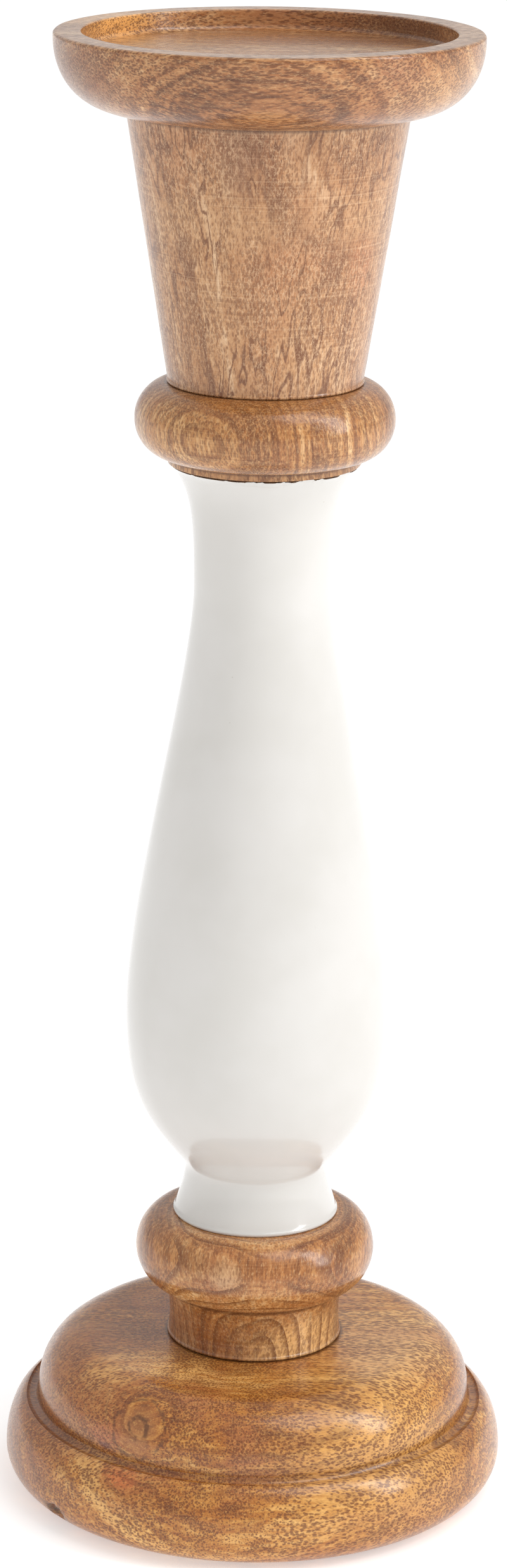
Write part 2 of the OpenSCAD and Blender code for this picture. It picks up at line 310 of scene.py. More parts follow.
def wood(name, turn, pith, tones, seed, ring=2.6, sway=16.0, fleck=1.35, fleck_run=3.2, mottle=0.55,
         net=0.45, veins=0.45, straight=False, blush=(0.40, 0.13, 0.05), dive=None, stains_and_painted_light=(),
         knot=None, shade_creases=(), gloss=0.25, lines=0.3):
    """Lacquered mango wood, cut from a log: rings round a pith, with flecks and pores along it.

    turn: the angles, in degrees, that lay the log's length along the pattern's Z
    pith: how far the log's centre lies from the piece's own, across the turned pattern
    tones: four colours from the darkest rings to the palest
    ring, sway: width of a growth ring, and how far the rings stray from round, in millimetres
    fleck, fleck_run: spacing of the brown flecks, and how many times longer they are
    mottle, net, veins, lines: strength of the flecks, of the pale net between them, of the long
        dark lines and of the tool's lines round the piece
    straight: whether the long dark lines run with the fibres and not with the rings
    blush: the hue that the block slowly drifts to
    dive: a stretch of the log's length where the grain runs out of the surface, and by how much
    stains_and_painted_light: (centre, radii, colour, strength, ragged) of stains and of patches of
    painted light and shade, in millimetres
    knot: its centre, and how far it bends the rings round it
    shade_creases: (radius, level, size) of corners round the piece, darkened with painted shade
    gloss: the roughness where the lacquer is even
    """
    material, t = new_material(name)
    place = t.scaled(t.add("ShaderNodeTexCoord", {}, {}, "Object"), 1 / MM)
    along = t.add("ShaderNodeAttribute", {"attribute_name": "along"}, {}, "Fac")
    log = Log(t, place, turn, pith, dive, seed)

    # The log's own curves, small curls in them, and the rings that a knot pushes aside
    bent = log.strayed(log.place, 34.0, 110.0, sway, 3.1)
    bent = log.strayed(bent, 9.0, 26.0, sway * 0.16, 7.7)
    x, y, z = t.parts(bent)
    ring_at = (x * x + y * y).root()
    if knot:
        centre, reach = knot
        off = t.vectors("SUBTRACT", place, centre)
        from_knot = t.length(log.strayed(off, 6.0, 6.0, 2.4, 5.5))
        ring_at = ring_at + t.span(from_knot, reach, 0.0) * reach * 0.8

    # The ground, slow changes of hue through the block, stains, and patches of painted light and
    # shade
    colour = ring_colour(t, log, bent, ring_at, ring, tones)
    clouds = log.noise(26.0, 60.0, 9.2, 2.0, 0.5)
    colour = t.blend(t.span(clouds, 0.46, 0.7) * 0.5, colour, blush)
    for centre, radii, stain_and_light_tint, strength, ragged in stains_and_painted_light:
        colour = t.blend(spot(t, place, centre, radii, ragged) * strength, colour, stain_and_light_tint)
    dark = long_lines(t, log, bent, ring_at, ring, clouds, straight)
    colour = t.blend(dark * veins, colour, tones[0])

    # A pale net, brown flecks, fine grain and pores, which thin out in places and near a knot
    crowd = t.span(log.noise(9.0, 26.0, 2.2, 2.0, 0.5), 0.34, 0.6, 0.25, 1.0)
    if knot:
        crowd = crowd * t.span(from_knot, 6.0, 13.0)
    run = fleck * fleck_run
    thread = log.noise(fleck * 1.1, run * 0.9, 6.1, 2.0, 0.6)
    colour = t.blend(ridge(t, thread, 0.07) * crowd * net, colour, tones[3])
    brown = brown_flecks(t, log, fleck, run, crowd)
    colour = t.blend(brown * mottle, colour, tones[0])
    grains = log.noise(0.5, 1.6, 9.9, 2.0, 0.65)
    colour = t.blend(t.span(grains, 0.5, 0.75) * 0.4, colour, tones[0])
    colour = t.blend(t.span(grains, 0.46, 0.25) * 0.4, colour, tones[3])
    pore = open_pores(t, log, crowd)
    colour = t.blend(pore * 0.75, colour, PORE_AND_SHADE_BROWN)
    if knot:
        colour = t.blend(knot_marks(t, place, from_knot) * 0.8, colour, PORE_AND_SHADE_BROWN)

    # Fine lines that the turning tool and the abrasive left round the piece, and painted shade in its
    # corners
    turned = t.noise(t.vector(along / 0.5, z * 0.02, seed), 2.0, 0.6)
    patchy = t.span(t.noise(t.vector(along / 14, x / 30, z / 30 + seed), 1.0, 0.5), 0.36, 0.62)
    colour = t.blend(t.span(turned, 0.5, 0.8) * patchy * lines * 0.7, colour, tones[3])
    colour = t.blend(t.span(turned, 0.5, 0.26) * patchy * lines, colour, tones[0])
    colour = painted_shade_in_corners(t, place, colour, shade_creases)

    height = grains * 0.02 + turned * 0.018 - pore * 0.06 - brown * 0.02
    smears = log.noise(4.0, 20.0, 8.8, 2.0, 0.5)
    rough = smears * 0.12 + pore * 0.15 + brown * 0.06 + (gloss - 0.06)
    finish_material(t, {
        "Base Color": colour, "Roughness": rough, "Normal": bumped(t, height),
        "IOR": 1.45, "Coat Weight": 0.35, "Coat Roughness": 0.18, "Coat IOR": 1.5})
    return material


def enamel():
    """Thick glossy off-white paint, faintly uneven."""
    material, t = new_material("white_enamel")
    place = t.scaled(t.add("ShaderNodeTexCoord", {}, {}, "Object"), 1 / MM)
    clouds = t.noise(t.scaled(place, 0.03), 3.0, 0.55)
    specks = t.add("ShaderNodeTexVoronoi", {}, {"Vector": t.scaled(place, 0.14), "Scale": 1.0})
    chance = t.parts(specks.other("Color"))[1]
    speck = ((0.045 * chance - specks) / 0.02).clamped()
    colour = t.blend(t.span(clouds, 0.35, 0.65), (0.665, 0.645, 0.61), (0.695, 0.675, 0.645))
    colour = t.blend(speck * 0.5, colour, (0.42, 0.36, 0.29))
    broad_peel = t.noise(t.scaled(place, 0.35), 2.0, 0.5)
    fine_peel = t.noise(t.scaled(place, 1.6), 1.0, 0.5)
    peel = broad_peel * 0.02 + fine_peel * 0.002
    finish_material(t, {
        "Base Color": colour, "Roughness": clouds * 0.08 + 0.1, "Normal": bumped(t, peel),
        "IOR": 1.5, "Coat Weight": 0.3, "Coat Roughness": 0.05})
    return material


def zinc():
    """Zinc-plated steel with a faint bluish and yellowish cast."""
    material, t = new_material("zinc_steel")
    place = t.scaled(t.add("ShaderNodeTexCoord", {}, {}, "Object"), 1 / MM)
    clouds = t.noise(t.scaled(place, 0.35), 3.0, 0.6)
    scratch = t.noise(t.vectors("MULTIPLY", place, (3.0, 3.0, 0.6)), 4.0, 0.7)
    colour = t.blend(t.span(clouds, 0.35, 0.65), (0.56, 0.59, 0.64), (0.66, 0.64, 0.56))
    finish_material(t, {
        "Base Color": colour, "Metallic": 1.0, "Roughness": scratch * 0.25 + 0.2,
        "Normal": bumped(t, scratch * 0.012)})
    return material


def felt():
    """Pressed grey-brown felt with crossing fibres."""
    material, t = new_material("felt")
    place = t.scaled(t.add("ShaderNodeTexCoord", {}, {}, "Object"), 1 / MM)
    coarse = t.noise(t.vectors("MULTIPLY", place, (4.0, 1.2, 2.0)), 4.0, 0.7)
    crossing = t.noise(t.vectors("MULTIPLY", place, (1.3, 4.5, 2.0)), 4.0, 0.7)
    fluff = (coarse + crossing) * 0.5
    colour = t.blend(t.span(fluff, 0.35, 0.65), (0.055, 0.05, 0.046), (0.16, 0.148, 0.138))
    finish_material(t, {
        "Base Color": colour, "Roughness": 0.95, "Normal": bumped(t, fluff * 0.25),
        "Sheen Weight": 0.4, "Sheen Roughness": 0.6})
    return material


# ---------------------------------------------------------------- outlines

def arc(centre, rx, ry, start, end, step=7.0):
    """Points along an ellipse's arc, by angle from the outward direction."""
    count = max(2, round(abs(end - start) / step))
    angles = [math.radians(start + (end - start) * i / count) for i in range(count + 1)]
    return [(centre[0] + rx * math.cos(a), centre[1] + ry * math.sin(a)) for a in angles]


def curve(p0, p1, p2, p3, count):
    """Points along a cubic curve with two handles."""
    made = []
    for i in range(count + 1):
        t = i / count
        u = 1 - t
        weights = (u * u * u, 3 * u * u * t, 3 * u * t * t, t * t * t)
        made.append(tuple(sum(w * p[k] for w, p in zip(weights, (p0, p1, p2, p3))) for k in (0, 1)))
    return made


def inset(line, thickness):
    """The same line a wall's thickness further in, with its two ends kept level."""
    made = []
    last = len(line) - 1
    for i, (r, z) in enumerate(line):
        a, b = line[max(i - 1, 0)], line[min(i + 1, last)]
        run = math.dist(a, b)
        if i in (0, last):
            made.append((r - thickness, z))
        else:
            made.append((r - (b[1] - a[1]) / run * thickness, z + (b[0] - a[0]) / run * thickness))
    return made


def soften(line, radius, sharp=24.0):
    """The outline with each sharp corner rounded."""
    made = [line[0]]
    for before, at, after in zip(line, line[1:], line[2:]):
        arrive, leave = Vector(at) - Vector(before), Vector(after) - Vector(at)
        if arrive.length < 1e-6 or leave.length < 1e-6:
            continue
        if math.degrees(arrive.angle(leave)) < sharp:
            made.append(at)
            continue
        start = Vector(at) - arrive.normalized() * min(radius, arrive.length * 0.45)
        end = Vector(at) + leave.normalized() * min(radius, leave.length * 0.45)
        for i in range(5):
            t = i / 4
            point = start * (1 - t) ** 2 + Vector(at) * 2 * t * (1 - t) + end * t * t
            made.append(tuple(point))
    made.append(line[-1])
    return made


def divided(line, longest):
    """The outline with no step longer than a given length."""
    made = [line[0]]
    for a, b in zip(line, line[1:]):
        count = max(1, math.ceil(math.dist(a, b) / longest))
        made += [tuple(a[k] + (b[k] - a[k]) * i / count for k in (0, 1)) for i in range(1, count + 1)]
    return made


# ---------------------------------------------------------------- turned pieces

SEAM_GAP = 0.000002
SHARPEST_SMOOTH = 0.62

TURNED_INPUTS = (
    ("Outline", "NodeSocketGeometry", None),
    ("Sides", "NodeSocketInt", 256),
    ("Unevenness", "NodeSocketFloat", 0.0),
    ("Unevenness Size", "NodeSocketFloat", 22.0),
    ("Ripple", "NodeSocketFloat", 0.0),
    ("Dent Place", "NodeSocketVector", (0.0, 0.0, 0.0)),
    ("Dent Size", "NodeSocketFloat", 1.0),
    ("Dent Depth", "NodeSocketFloat", 0.0),
    ("Chip Level", "NodeSocketFloat", 1000.0),
    ("Chip Depth", "NodeSocketFloat", 0.0),
    ("Chip Side", "NodeSocketFloat", 0.0),
    ("Thread Pitch", "NodeSocketFloat", 1.25),
    ("Thread Depth", "NodeSocketFloat", 0.0),
    ("Across Flats", "NodeSocketFloat", 1000.0),
    ("Seed", "NodeSocketFloat", 0.0),
    ("Copies", "NodeSocketInt", 1),
    ("Copies Radius", "NodeSocketFloat", 0.0),
    ("Copies Turn", "NodeSocketFloat", 0.0),
    ("Material", "NodeSocketMaterial", None),
)


def from_outline(t, given, row):
    """The outline's point for a row of the grid, in millimetres, and its three attributes."""
    def sampled(kind, value):
        return t.add("GeometryNodeSampleIndex", {"data_type": kind},
                     {"Geometry": given["Outline"], "Value": value, "Index": row})

    def named(name):
        return t.add("GeometryNodeInputNamedAttribute", {"data_type": "FLOAT"}, {"Name": name})

    point = sampled("FLOAT_VECTOR", t.add("GeometryNodeInputPosition"))
    return t.scaled(point, 1 / MM), *(sampled("FLOAT", named(name))
                                      for name in ("along", "open", "thread"))


def flats_and_thread(t, given, r, z, share, thread):
    """The radius cut back to a nut's flats and to the bottom of a thread."""
    angle, sixth = share * TURN, TURN / 6
    in_sixth = angle - (angle / sixth).floor() * sixth - sixth / 2
    r = r.least(given["Across Flats"] / 2 / in_sixth.cos())
    turns = z / given["Thread Pitch"] - share
    groove = t.add("ShaderNodeMath", {"operation": "PINGPONG"}, {0: turns, 1: 0.5}) * 2
    return r - groove * given["Thread Depth"] * thread


def unevenness(t, given, r, z, share, along, open_share):
    """How far a hand-turned surface strays from round and even."""
    angle, seed, size = share * TURN, given["Seed"], given["Unevenness Size"]
    around = t.vector(r * angle.cos() / size + seed, r * angle.sin() / size, z / size + seed)
    waver = t.noise(around, 2.0, 0.5) - 0.5
    ripple = t.noise(t.vector(along / 1.7, seed, share.cos()), 2.0, 0.6) - 0.5
    return (waver * given["Unevenness"] + ripple * given["Ripple"]) * open_share


def dent(t, given, r, z, angle):
    """How far a dent pushes the surface in towards the axis."""
    at = t.vector(r * angle.cos(), r * angle.sin(), z)
    away = t.length(t.vectors("SUBTRACT", at, given["Dent Place"]))
    rag = t.noise(t.scaled(at, 0.5), 3.0, 0.6)
    return t.span(away / given["Dent Size"] + rag - 0.5, 1.0, 0.3) * given["Dent Depth"]


def chips(t, given, z, angle):
    """How deep the chips are along an edge at a level; they are thickest on one side."""
    seed = given["Seed"]
    facing = t.span((angle - given["Chip Side"]).cos(), -0.6, 0.7, 0.25, 1.0)
    ragged = t.noise(t.vector(angle.cos() * 4, angle.sin() * 4, seed), 2.0, 0.6)
    small = t.noise(t.vector(angle.cos() * 26, angle.sin() * 26, seed), 2.0, 0.55)
    chip = t.span(ragged * 0.8 + small * 0.2, 0.34, 0.52) * facing
    near_edge = t.span(given["Chip Level"] - z, 1.6, 0.0)
    return chip * near_edge * given["Chip Depth"]


def smoothed(t, mesh):
    """Closes the seam and smooths all but the sharp edges."""
    closed = t.add("GeometryNodeMergeByDistance", {}, {"Geometry": mesh, "Distance": SEAM_GAP})
    outward = t.add("GeometryNodeFlipFaces", {}, {"Mesh": closed})
    gentle = SHARPEST_SMOOTH - t.add("GeometryNodeInputMeshEdgeAngle")
    smooth = t.add("GeometryNodeSetShadeSmooth", {"domain": "FACE"}, {"Geometry": outward})
    return t.add("GeometryNodeSetShadeSmooth", {"domain": "EDGE"},
                 {"Geometry": smooth, "Shade Smooth": gentle.above(0.0)})


def copied(t, given, mesh):
    """Copies in a circle, for the feet."""
    index = t.add("GeometryNodeInputIndex")
    spoke = index / given["Copies"] * TURN + given["Copies Turn"]
    reach = given["Copies Radius"] * MM
    stand = t.vector(spoke.cos() * reach, spoke.sin() * reach, 0.0)
    points = t.add("GeometryNodePoints", {}, {"Count": given["Copies"], "Position": stand})
    copies = t.add("GeometryNodeInstanceOnPoints", {}, {"Points": points, "Instance": mesh})
    return t.add("GeometryNodeRealizeInstances", {}, {"Geometry": copies})


def turned_tree():
    """Turns an outline round the Z axis; its sizes are in millimetres.

    The outline is a mesh of points (r, 0, z) in order, with three attributes: along, its length so
    far, open, how much of the unevenness a point takes, and thread, how much of the thread.
    """
    group = bpy.data.node_groups.new("turned piece", "GeometryNodeTree")
    for name, kind, default in TURNED_INPUTS:
        socket = group.interface.new_socket(name, in_out="INPUT", socket_type=kind)
        if default is not None:
            socket.default_value = default
    group.interface.new_socket("Piece", in_out="OUTPUT", socket_type="NodeSocketGeometry")
    t = Tree(group)
    entry = group.nodes.new("NodeGroupInput")
    given = {name: Value(t, entry.outputs[name]) for name, _, _ in TURNED_INPUTS}

    # A grid with a row for each point of the outline and a column for each side
    rows = t.add("GeometryNodeAttributeDomainSize", {"component": "MESH"}, {0: given["Outline"]})
    columns = given["Sides"] + 1
    grid = t.add("GeometryNodeMeshGrid", {}, {"Vertices X": rows, "Vertices Y": columns})
    index = t.add("GeometryNodeInputIndex")
    row = (index / columns).floor()
    share = (index - row * columns) / given["Sides"]
    angle = share * TURN

    point, along, open_share, thread = from_outline(t, given, row)
    r, _, z = t.parts(point)
    r = flats_and_thread(t, given, r, z, share, thread)
    uneven = unevenness(t, given, r, z, share, along, open_share)
    off_axis = t.span(r, 1.0, 4.0)
    out = r + uneven * off_axis - dent(t, given, r, z, angle)
    level = z + uneven * 0.6 - chips(t, given, z, angle)
    placed = t.scaled(t.vector(out * angle.cos(), out * angle.sin(), level), MM)
    shaped = t.add("GeometryNodeSetPosition", {}, {"Geometry": grid, "Position": placed})
    marked = t.add("GeometryNodeStoreNamedAttribute", {"data_type": "FLOAT", "domain": "POINT"},
                   {"Geometry": shaped, "Name": "along", "Value": along})
    made = copied(t, given, smoothed(t, marked))
    dressed = t.add("GeometryNodeSetMaterial", {}, {"Geometry": made, "Material": given["Material"]})
    t.add("NodeGroupOutput", {}, {"Piece": dressed})
    return group


TURNED = turned_tree()


def keep(piece, node, slot):
    """Puts a finished piece on the object in place of its CAD node."""
    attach(piece, "root")
    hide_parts(node)
    return piece


def lengths(outline):
    """How far along the outline each of its points lies."""
    run = [0.0]
    for a, b in zip(outline, outline[1:]):
        run.append(run[-1] + math.dist(a, b))
    return run


def outline_mesh(name, outline, shares):
    """The outline as points, with an attribute for each entry of shares."""
    mesh = bpy.data.meshes.new(name)
    mesh.from_pydata([(r * MM, 0.0, z * MM) for r, z in outline], [], [])
    for share, values in shares.items():
        mesh.attributes.new(share, "FLOAT", "POINT").data.foreach_set("value", values)
    return mesh


def nowhere(r, z):
    return False


def turned(node, slot, outline, material, is_open=nowhere, is_thread=nowhere, **sizes):
    """A turned piece that stands for a CAD node. sizes go to the tree's named inputs."""
    mesh = outline_mesh(node + "_outline", outline, {
        "along": lengths(outline),
        "open": [float(is_open(r, z)) for r, z in outline],
        "thread": [float(is_thread(r, z)) for r, z in outline]})
    maker = bpy.data.objects.new(node + "_maker", mesh)
    bpy.context.scene.collection.objects.link(maker)
    modifier = maker.modifiers.new("turned", "NODES")
    modifier.node_group = TURNED
    keys = {item.name: item.identifier for item in TURNED.interface.items_tree
            if item.item_type == "SOCKET" and item.in_out == "INPUT"}
    for name, value in dict(sizes, Material=material).items():
        modifier[keys[name.replace("_", " ")]] = value
    graph = bpy.context.evaluated_depsgraph_get()
    made = bpy.data.meshes.new_from_object(maker.evaluated_get(graph), depsgraph=graph)
    bpy.data.objects.remove(maker)
    made.name = node + "_mesh"
    piece = bpy.data.objects.new(node + "_turned", made)
    bpy.context.scene.collection.objects.link(piece)
    return keep(piece, node, slot)


# ---------------------------------------------------------------- levels from the frame

def low(node):
    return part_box(node)[0].z / MM


def high(node):
    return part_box(node)[1].z / MM


base_z = low("base")
neck_z = high("base")
baluster_z = low("enamel_coat")
ring_z = high("enamel_coat")
collar_z = high("upper_bead_ring")
rim_z = high("candle_dish")
base_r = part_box("base")[1].x / MM
bulb_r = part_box("enamel_coat")[1].x / MM
dish_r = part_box("candle_dish")[1].x / MM
rod_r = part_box("tie_rod")[1].x / MM

recess_depth = 6
recess_z = rim_z - recess_depth
dish_z = low("candle_dish")
rod_hole_r = rod_r + 0.5

# Spigots, from the base up: their radii and lengths, and the clearance round and past them
neck_spigot_r, core_spigot_r, collar_spigot_r, dish_spigot_r = 15, 14, 17, 20
spigot_l, collar_spigot_l, dish_spigot_l = 12, 7.5, 5.5
spigot_gap = 0.15
end_gap = 0.5


# ---------------------------------------------------------------- wooden pieces

def make_base():
    tuck, widest_h, shoulder_h, shoulder_w = 11, 10.5, 16, 8.5
    ledge_w, groove_r, wall_h, dome_h, dome_w = 10.2, 2.05, 3, 17, 17
    wide_z = base_z + widest_h
    groove_z = neck_z - dome_h - wall_h
    groove_x = base_r - ledge_w + groove_r
    crest = math.degrees(math.acos(
        (groove_x + groove_r * math.cos(math.radians(24)) - base_r + shoulder_w) / shoulder_w))
    socket_r, socket_z = neck_spigot_r + spigot_gap, neck_z - spigot_l - end_gap
    pocket_r, pocket_z = 15, base_z + 16
    outside = (
        arc((base_r - tuck, wide_z), tuck, widest_h, -90, 0)
        + arc((base_r - shoulder_w, wide_z), shoulder_w, shoulder_h, 5, crest)
        + arc((groove_x, groove_z), groove_r, groove_r, -30, -180)
        + arc((base_r - ledge_w - dome_w, groove_z + wall_h), dome_w, dome_h, 0, 90, 5)
    )
    inside = [(socket_r, neck_z), (socket_r, socket_z), (rod_hole_r, socket_z),
              (rod_hole_r, pocket_z), (pocket_r, pocket_z), (pocket_r, base_z), outside[0]]
    outline = divided(soften(outside + inside, 0.55), 1.6)
    chip = (-60.5, -46.5, 6.0)
    knot = (-34.5, -55.3, 38.2)
    golden = wood(
        "base_wood", turn=(0, 90, 0), pith=(-70, 10),
        tones=((0.14, 0.033, 0.005), (0.40, 0.128, 0.018), (0.56, 0.232, 0.042),
               (0.86, 0.48, 0.15)),
        ring=3.6, sway=22, fleck=0.72, fleck_run=3.3, mottle=0.78, net=0.2, veins=0.4,
        lines=0.2, seed=1.0,
        # painted shade in the groove and at the neck's foot
        shade_creases=((groove_x, groove_z, 2.6), (26.6, neck_z, 1.6)),
        dive=(-20, 42, 90), knot=(knot, 19.0),
        # the first patch is painted shade on the left side, away from the lamp
        stains_and_painted_light=(((-62, -20, 34), (40, 60, 30), (0.29, 0.075, 0.014), 0.65, 0.6),
               # painted light on the right front, where the lamp falls
               ((36, -50, 28), (48, 42, 34), (0.84, 0.45, 0.125), 0.65, 0.6),
               # painted light on the right of the top, where the lamp falls
               ((44, -16, 48), (32, 34, 7), (0.86, 0.50, 0.2), 0.5, 0.6),
               (knot, (10, 10, 10), (0.42, 0.19, 0.072), 0.6, 0.5),
               ((-44, -49, 33), (9, 9, 6), (0.52, 0.16, 0.07), 0.6, 0.6),
               ((-44.8, -49.6, 30.4), (3.5, 3.5, 1.6), (0.12, 0.03, 0.045), 0.8, 1.2),
               ((-39.6, -61.0, 24.5), (8, 8, 4), (0.58, 0.15, 0.04), 0.7, 0.7),
               (chip, (8.0, 8.0, 4.2), (0.004, 0.003, 0.003), 1.0, 1.0)))
    return turned("base", "base_wood", outline, golden,
                  is_open=lambda r, z: r > pocket_r + 2 and z > base_z + 0.3,
                  Sides=400, Unevenness=0.35, Unevenness_Size=24.0, Ripple=0.06, Seed=2.0,
                  Dent_Place=(-60.0, -46.3, 5.6), Dent_Size=4.6, Dent_Depth=2.4)


def make_neck():
    r, roll, neck_h, bead_h = 26.2, 0.7, 17, 23.2
    offset, swell, flare = 0.8, 9.7, 1.2
    bead_z = neck_z + neck_h
    bead = (r + offset, bead_z + bead_h / 2)
    under = math.radians(-80)
    join = (bead[0] + swell * math.cos(under), bead[1] + bead_h / 2 * math.sin(under))
    spigot_r, spigot_z = neck_spigot_r, neck_z - spigot_l
    socket_r, socket_z = core_spigot_r + spigot_gap, baluster_z - spigot_l - end_gap
    outside = (
        arc((r, neck_z + roll), roll, roll, -90, 60, 15)
        + curve((r, neck_z + 0.3 * neck_h), (r, bead_z - 0.3 * neck_h),
                (r + flare / 3, bead_z - flare), join, 14)
        + arc(bead, swell, bead_h / 2, -76, 90, 5)
    )
    inside = [(socket_r, baluster_z), (socket_r, socket_z), (rod_hole_r, socket_z),
              (rod_hole_r, spigot_z), (spigot_r, spigot_z), (spigot_r, neck_z), outside[0]]
    outline = divided(soften(outside + inside, 0.4), 1.2)
    amber = wood(
        "neck_wood", turn=(28, -3, 0), pith=(-2, -44),
        tones=((0.17, 0.05, 0.01), (0.46, 0.18, 0.048), (0.62, 0.30, 0.10), (0.86, 0.57, 0.29)),
        ring=2.2, sway=8, fleck=0.75, fleck_run=2.8, mottle=0.5, net=0.15, veins=0.85, seed=2.0,
        # painted shade at the neck's foot and under the bead
        shade_creases=((r, neck_z, 1.0), (r + flare, bead_z - 0.4, 1.8)),
        # the first patch is painted shade on the left, in the bead's shadow; the second is painted
        # light on the right
        stains_and_painted_light=(((-20, -20, 55), (26, 26, 11), (0.30, 0.085, 0.016), 0.6, 0.4),
               ((15, -20, 52), (26, 24, 12), (1.0, 0.6, 0.24), 0.75, 0.4),
               ((-9, -36, 79), (7, 12, 6), (0.76, 0.5, 0.27), 0.5, 0.7)))
    return turned("lower_bead_neck", "neck_wood", outline, amber,
                  is_open=lambda r, z: r > socket_r + 3 and neck_z + 0.4 < z < baluster_z - 0.4,
                  Sides=320, Unevenness=0.3, Unevenness_Size=14.0, Ripple=0.07, Seed=5.0)


def baluster_side():
    """The baluster's outside from its foot to its lip."""
    foot_r, waist_r, throat_r, lip_r = 25.3, 21.9, 20.6, 28
    foot_to_waist, waist_to_bulb, bulb_to_throat, throat_to_lip = 13.8, 52, 132, 37.8
    waist_z = baluster_z + foot_to_waist
    bulb_z = waist_z + waist_to_bulb
    throat_z = bulb_z + bulb_to_throat
    slope = math.radians(50)
    lean = (math.cos(slope), math.sin(slope))
    corner = (waist_r + 3, waist_z + 6.35)

    def past(point, length):
        return (point[0] + lean[0] * length, point[1] + lean[1] * length)

    foot = curve((foot_r, baluster_z), (foot_r - 0.7, baluster_z + 3.2),
                 (waist_r + 0.4, waist_z - 6), (waist_r, waist_z), 14)
    hollow = curve((waist_r, waist_z), (waist_r, waist_z + 2.4), past(corner, -3), corner, 8)
    underside = curve(corner, past(corner, 17.5), (bulb_r, bulb_z - 23.5), (bulb_r, bulb_z), 26)
    rise = curve((bulb_r, bulb_z), (bulb_r, bulb_z + 0.26 * bulb_to_throat),
                 (throat_r, throat_z - 0.195 * bulb_to_throat), (throat_r, throat_z), 46)
    flare = curve((throat_r, throat_z), (throat_r, throat_z + 0.66 * throat_to_lip),
                  (throat_r + 1.8, ring_z - 8), (lip_r, ring_z), 24)
    return foot[:-1] + hollow[:-1] + underside[:-1] + rise[:-1] + flare


def make_baluster():
    coat_t, core_gap = 1.2, 0.02
    side = baluster_side()
    inner = inset(side, coat_t)
    spigot_r, spigot_z = core_spigot_r, baluster_z - spigot_l
    socket_r, socket_z = collar_spigot_r + spigot_gap, ring_z - collar_spigot_l - end_gap
    hidden = inner[:0:-3] + [inner[0]]
    core_side = [(r - core_gap, z) for r, z in reversed(hidden)]
    core_outline = core_side + [
        (socket_r, ring_z), (socket_r, socket_z), (rod_hole_r, socket_z), (rod_hole_r, spigot_z),
        (spigot_r, spigot_z), (spigot_r, baluster_z), core_side[0]]
    raw = wood(
        "core_wood", turn=(1, 2, 0), pith=(18, 30),
        tones=((0.20, 0.09, 0.04), (0.44, 0.22, 0.1), (0.56, 0.32, 0.16), (0.68, 0.44, 0.25)),
        gloss=0.6, seed=3.0,
        stains_and_painted_light=(((0, 0, ring_z), (60, 60, 5), (0.34, 0.14, 0.06), 0.9, 0.3),))
    turned("baluster_core", "core_wood", divided(soften(core_outline, 0.3), 3.0), raw, Sides=192)

    # The coat swells into a fine rounded bead where it was masked off at the foot
    roll = arc((side[0][0] - 0.5, baluster_z + 0.7), 0.55, 0.7, -90, 70, 20)
    outer = roll + [p for p in side if p[1] > baluster_z + 2.0]
    outline = divided(outer, 2.0) + hidden + [outer[0]]
    return turned("enamel_coat", "white_enamel", outline, enamel(),
                  is_open=lambda r, z: (r, z) not in hidden and baluster_z + 3 < z < ring_z - 3,
                  Sides=400, Unevenness=0.22, Unevenness_Size=30.0, Ripple=0.03, Seed=8.0,
                  Chip_Level=ring_z, Chip_Depth=0.65, Chip_Side=math.radians(-78))


def make_ring():
    r, fillet_h, swell, bead_h = 28.6, 2.2, 9.9, 21.8
    bead_z = ring_z + fillet_h
    bore_r = collar_spigot_r + spigot_gap
    bead = arc((r, bead_z + bead_h / 2), swell, bead_h / 2, -90, 90, 5)
    outside = [(r - 0.1, ring_z), (r, ring_z)] + bead
    outline = outside + [(bore_r, collar_z), (bore_r, ring_z), outside[0]]
    brown = wood(
        "ring_wood", turn=(-4, 5, 0), pith=(1, -25),
        tones=((0.16, 0.05, 0.012), (0.40, 0.155, 0.046), (0.54, 0.25, 0.08), (0.80, 0.50, 0.24)),
        ring=2.2, sway=10, fleck=0.66, fleck_run=3.2, mottle=0.62, net=0.3, veins=0.65, seed=4.0,
        # painted shade under the bead and where the collar meets it
        shade_creases=((r, bead_z, 1.2), (r, collar_z, 1.6)),
        stains_and_painted_light=(((0, 0, ring_z + 0.8), (70, 70, 1.5), (0.56, 0.32, 0.15), 0.5, 0.3),
               ((0, -28, 347), (42, 24, 6), (0.34, 0.115, 0.018), 0.65, 0.4)))
    return turned("upper_bead_ring", "ring_wood", divided(soften(outline, 0.35), 1.2), brown,
                  is_open=lambda r, z: r > bore_r + 3 and ring_z + 0.4 < z < collar_z - 0.4,
                  Sides=320, Unevenness=0.3, Unevenness_Size=14.0, Ripple=0.06, Seed=11.0)


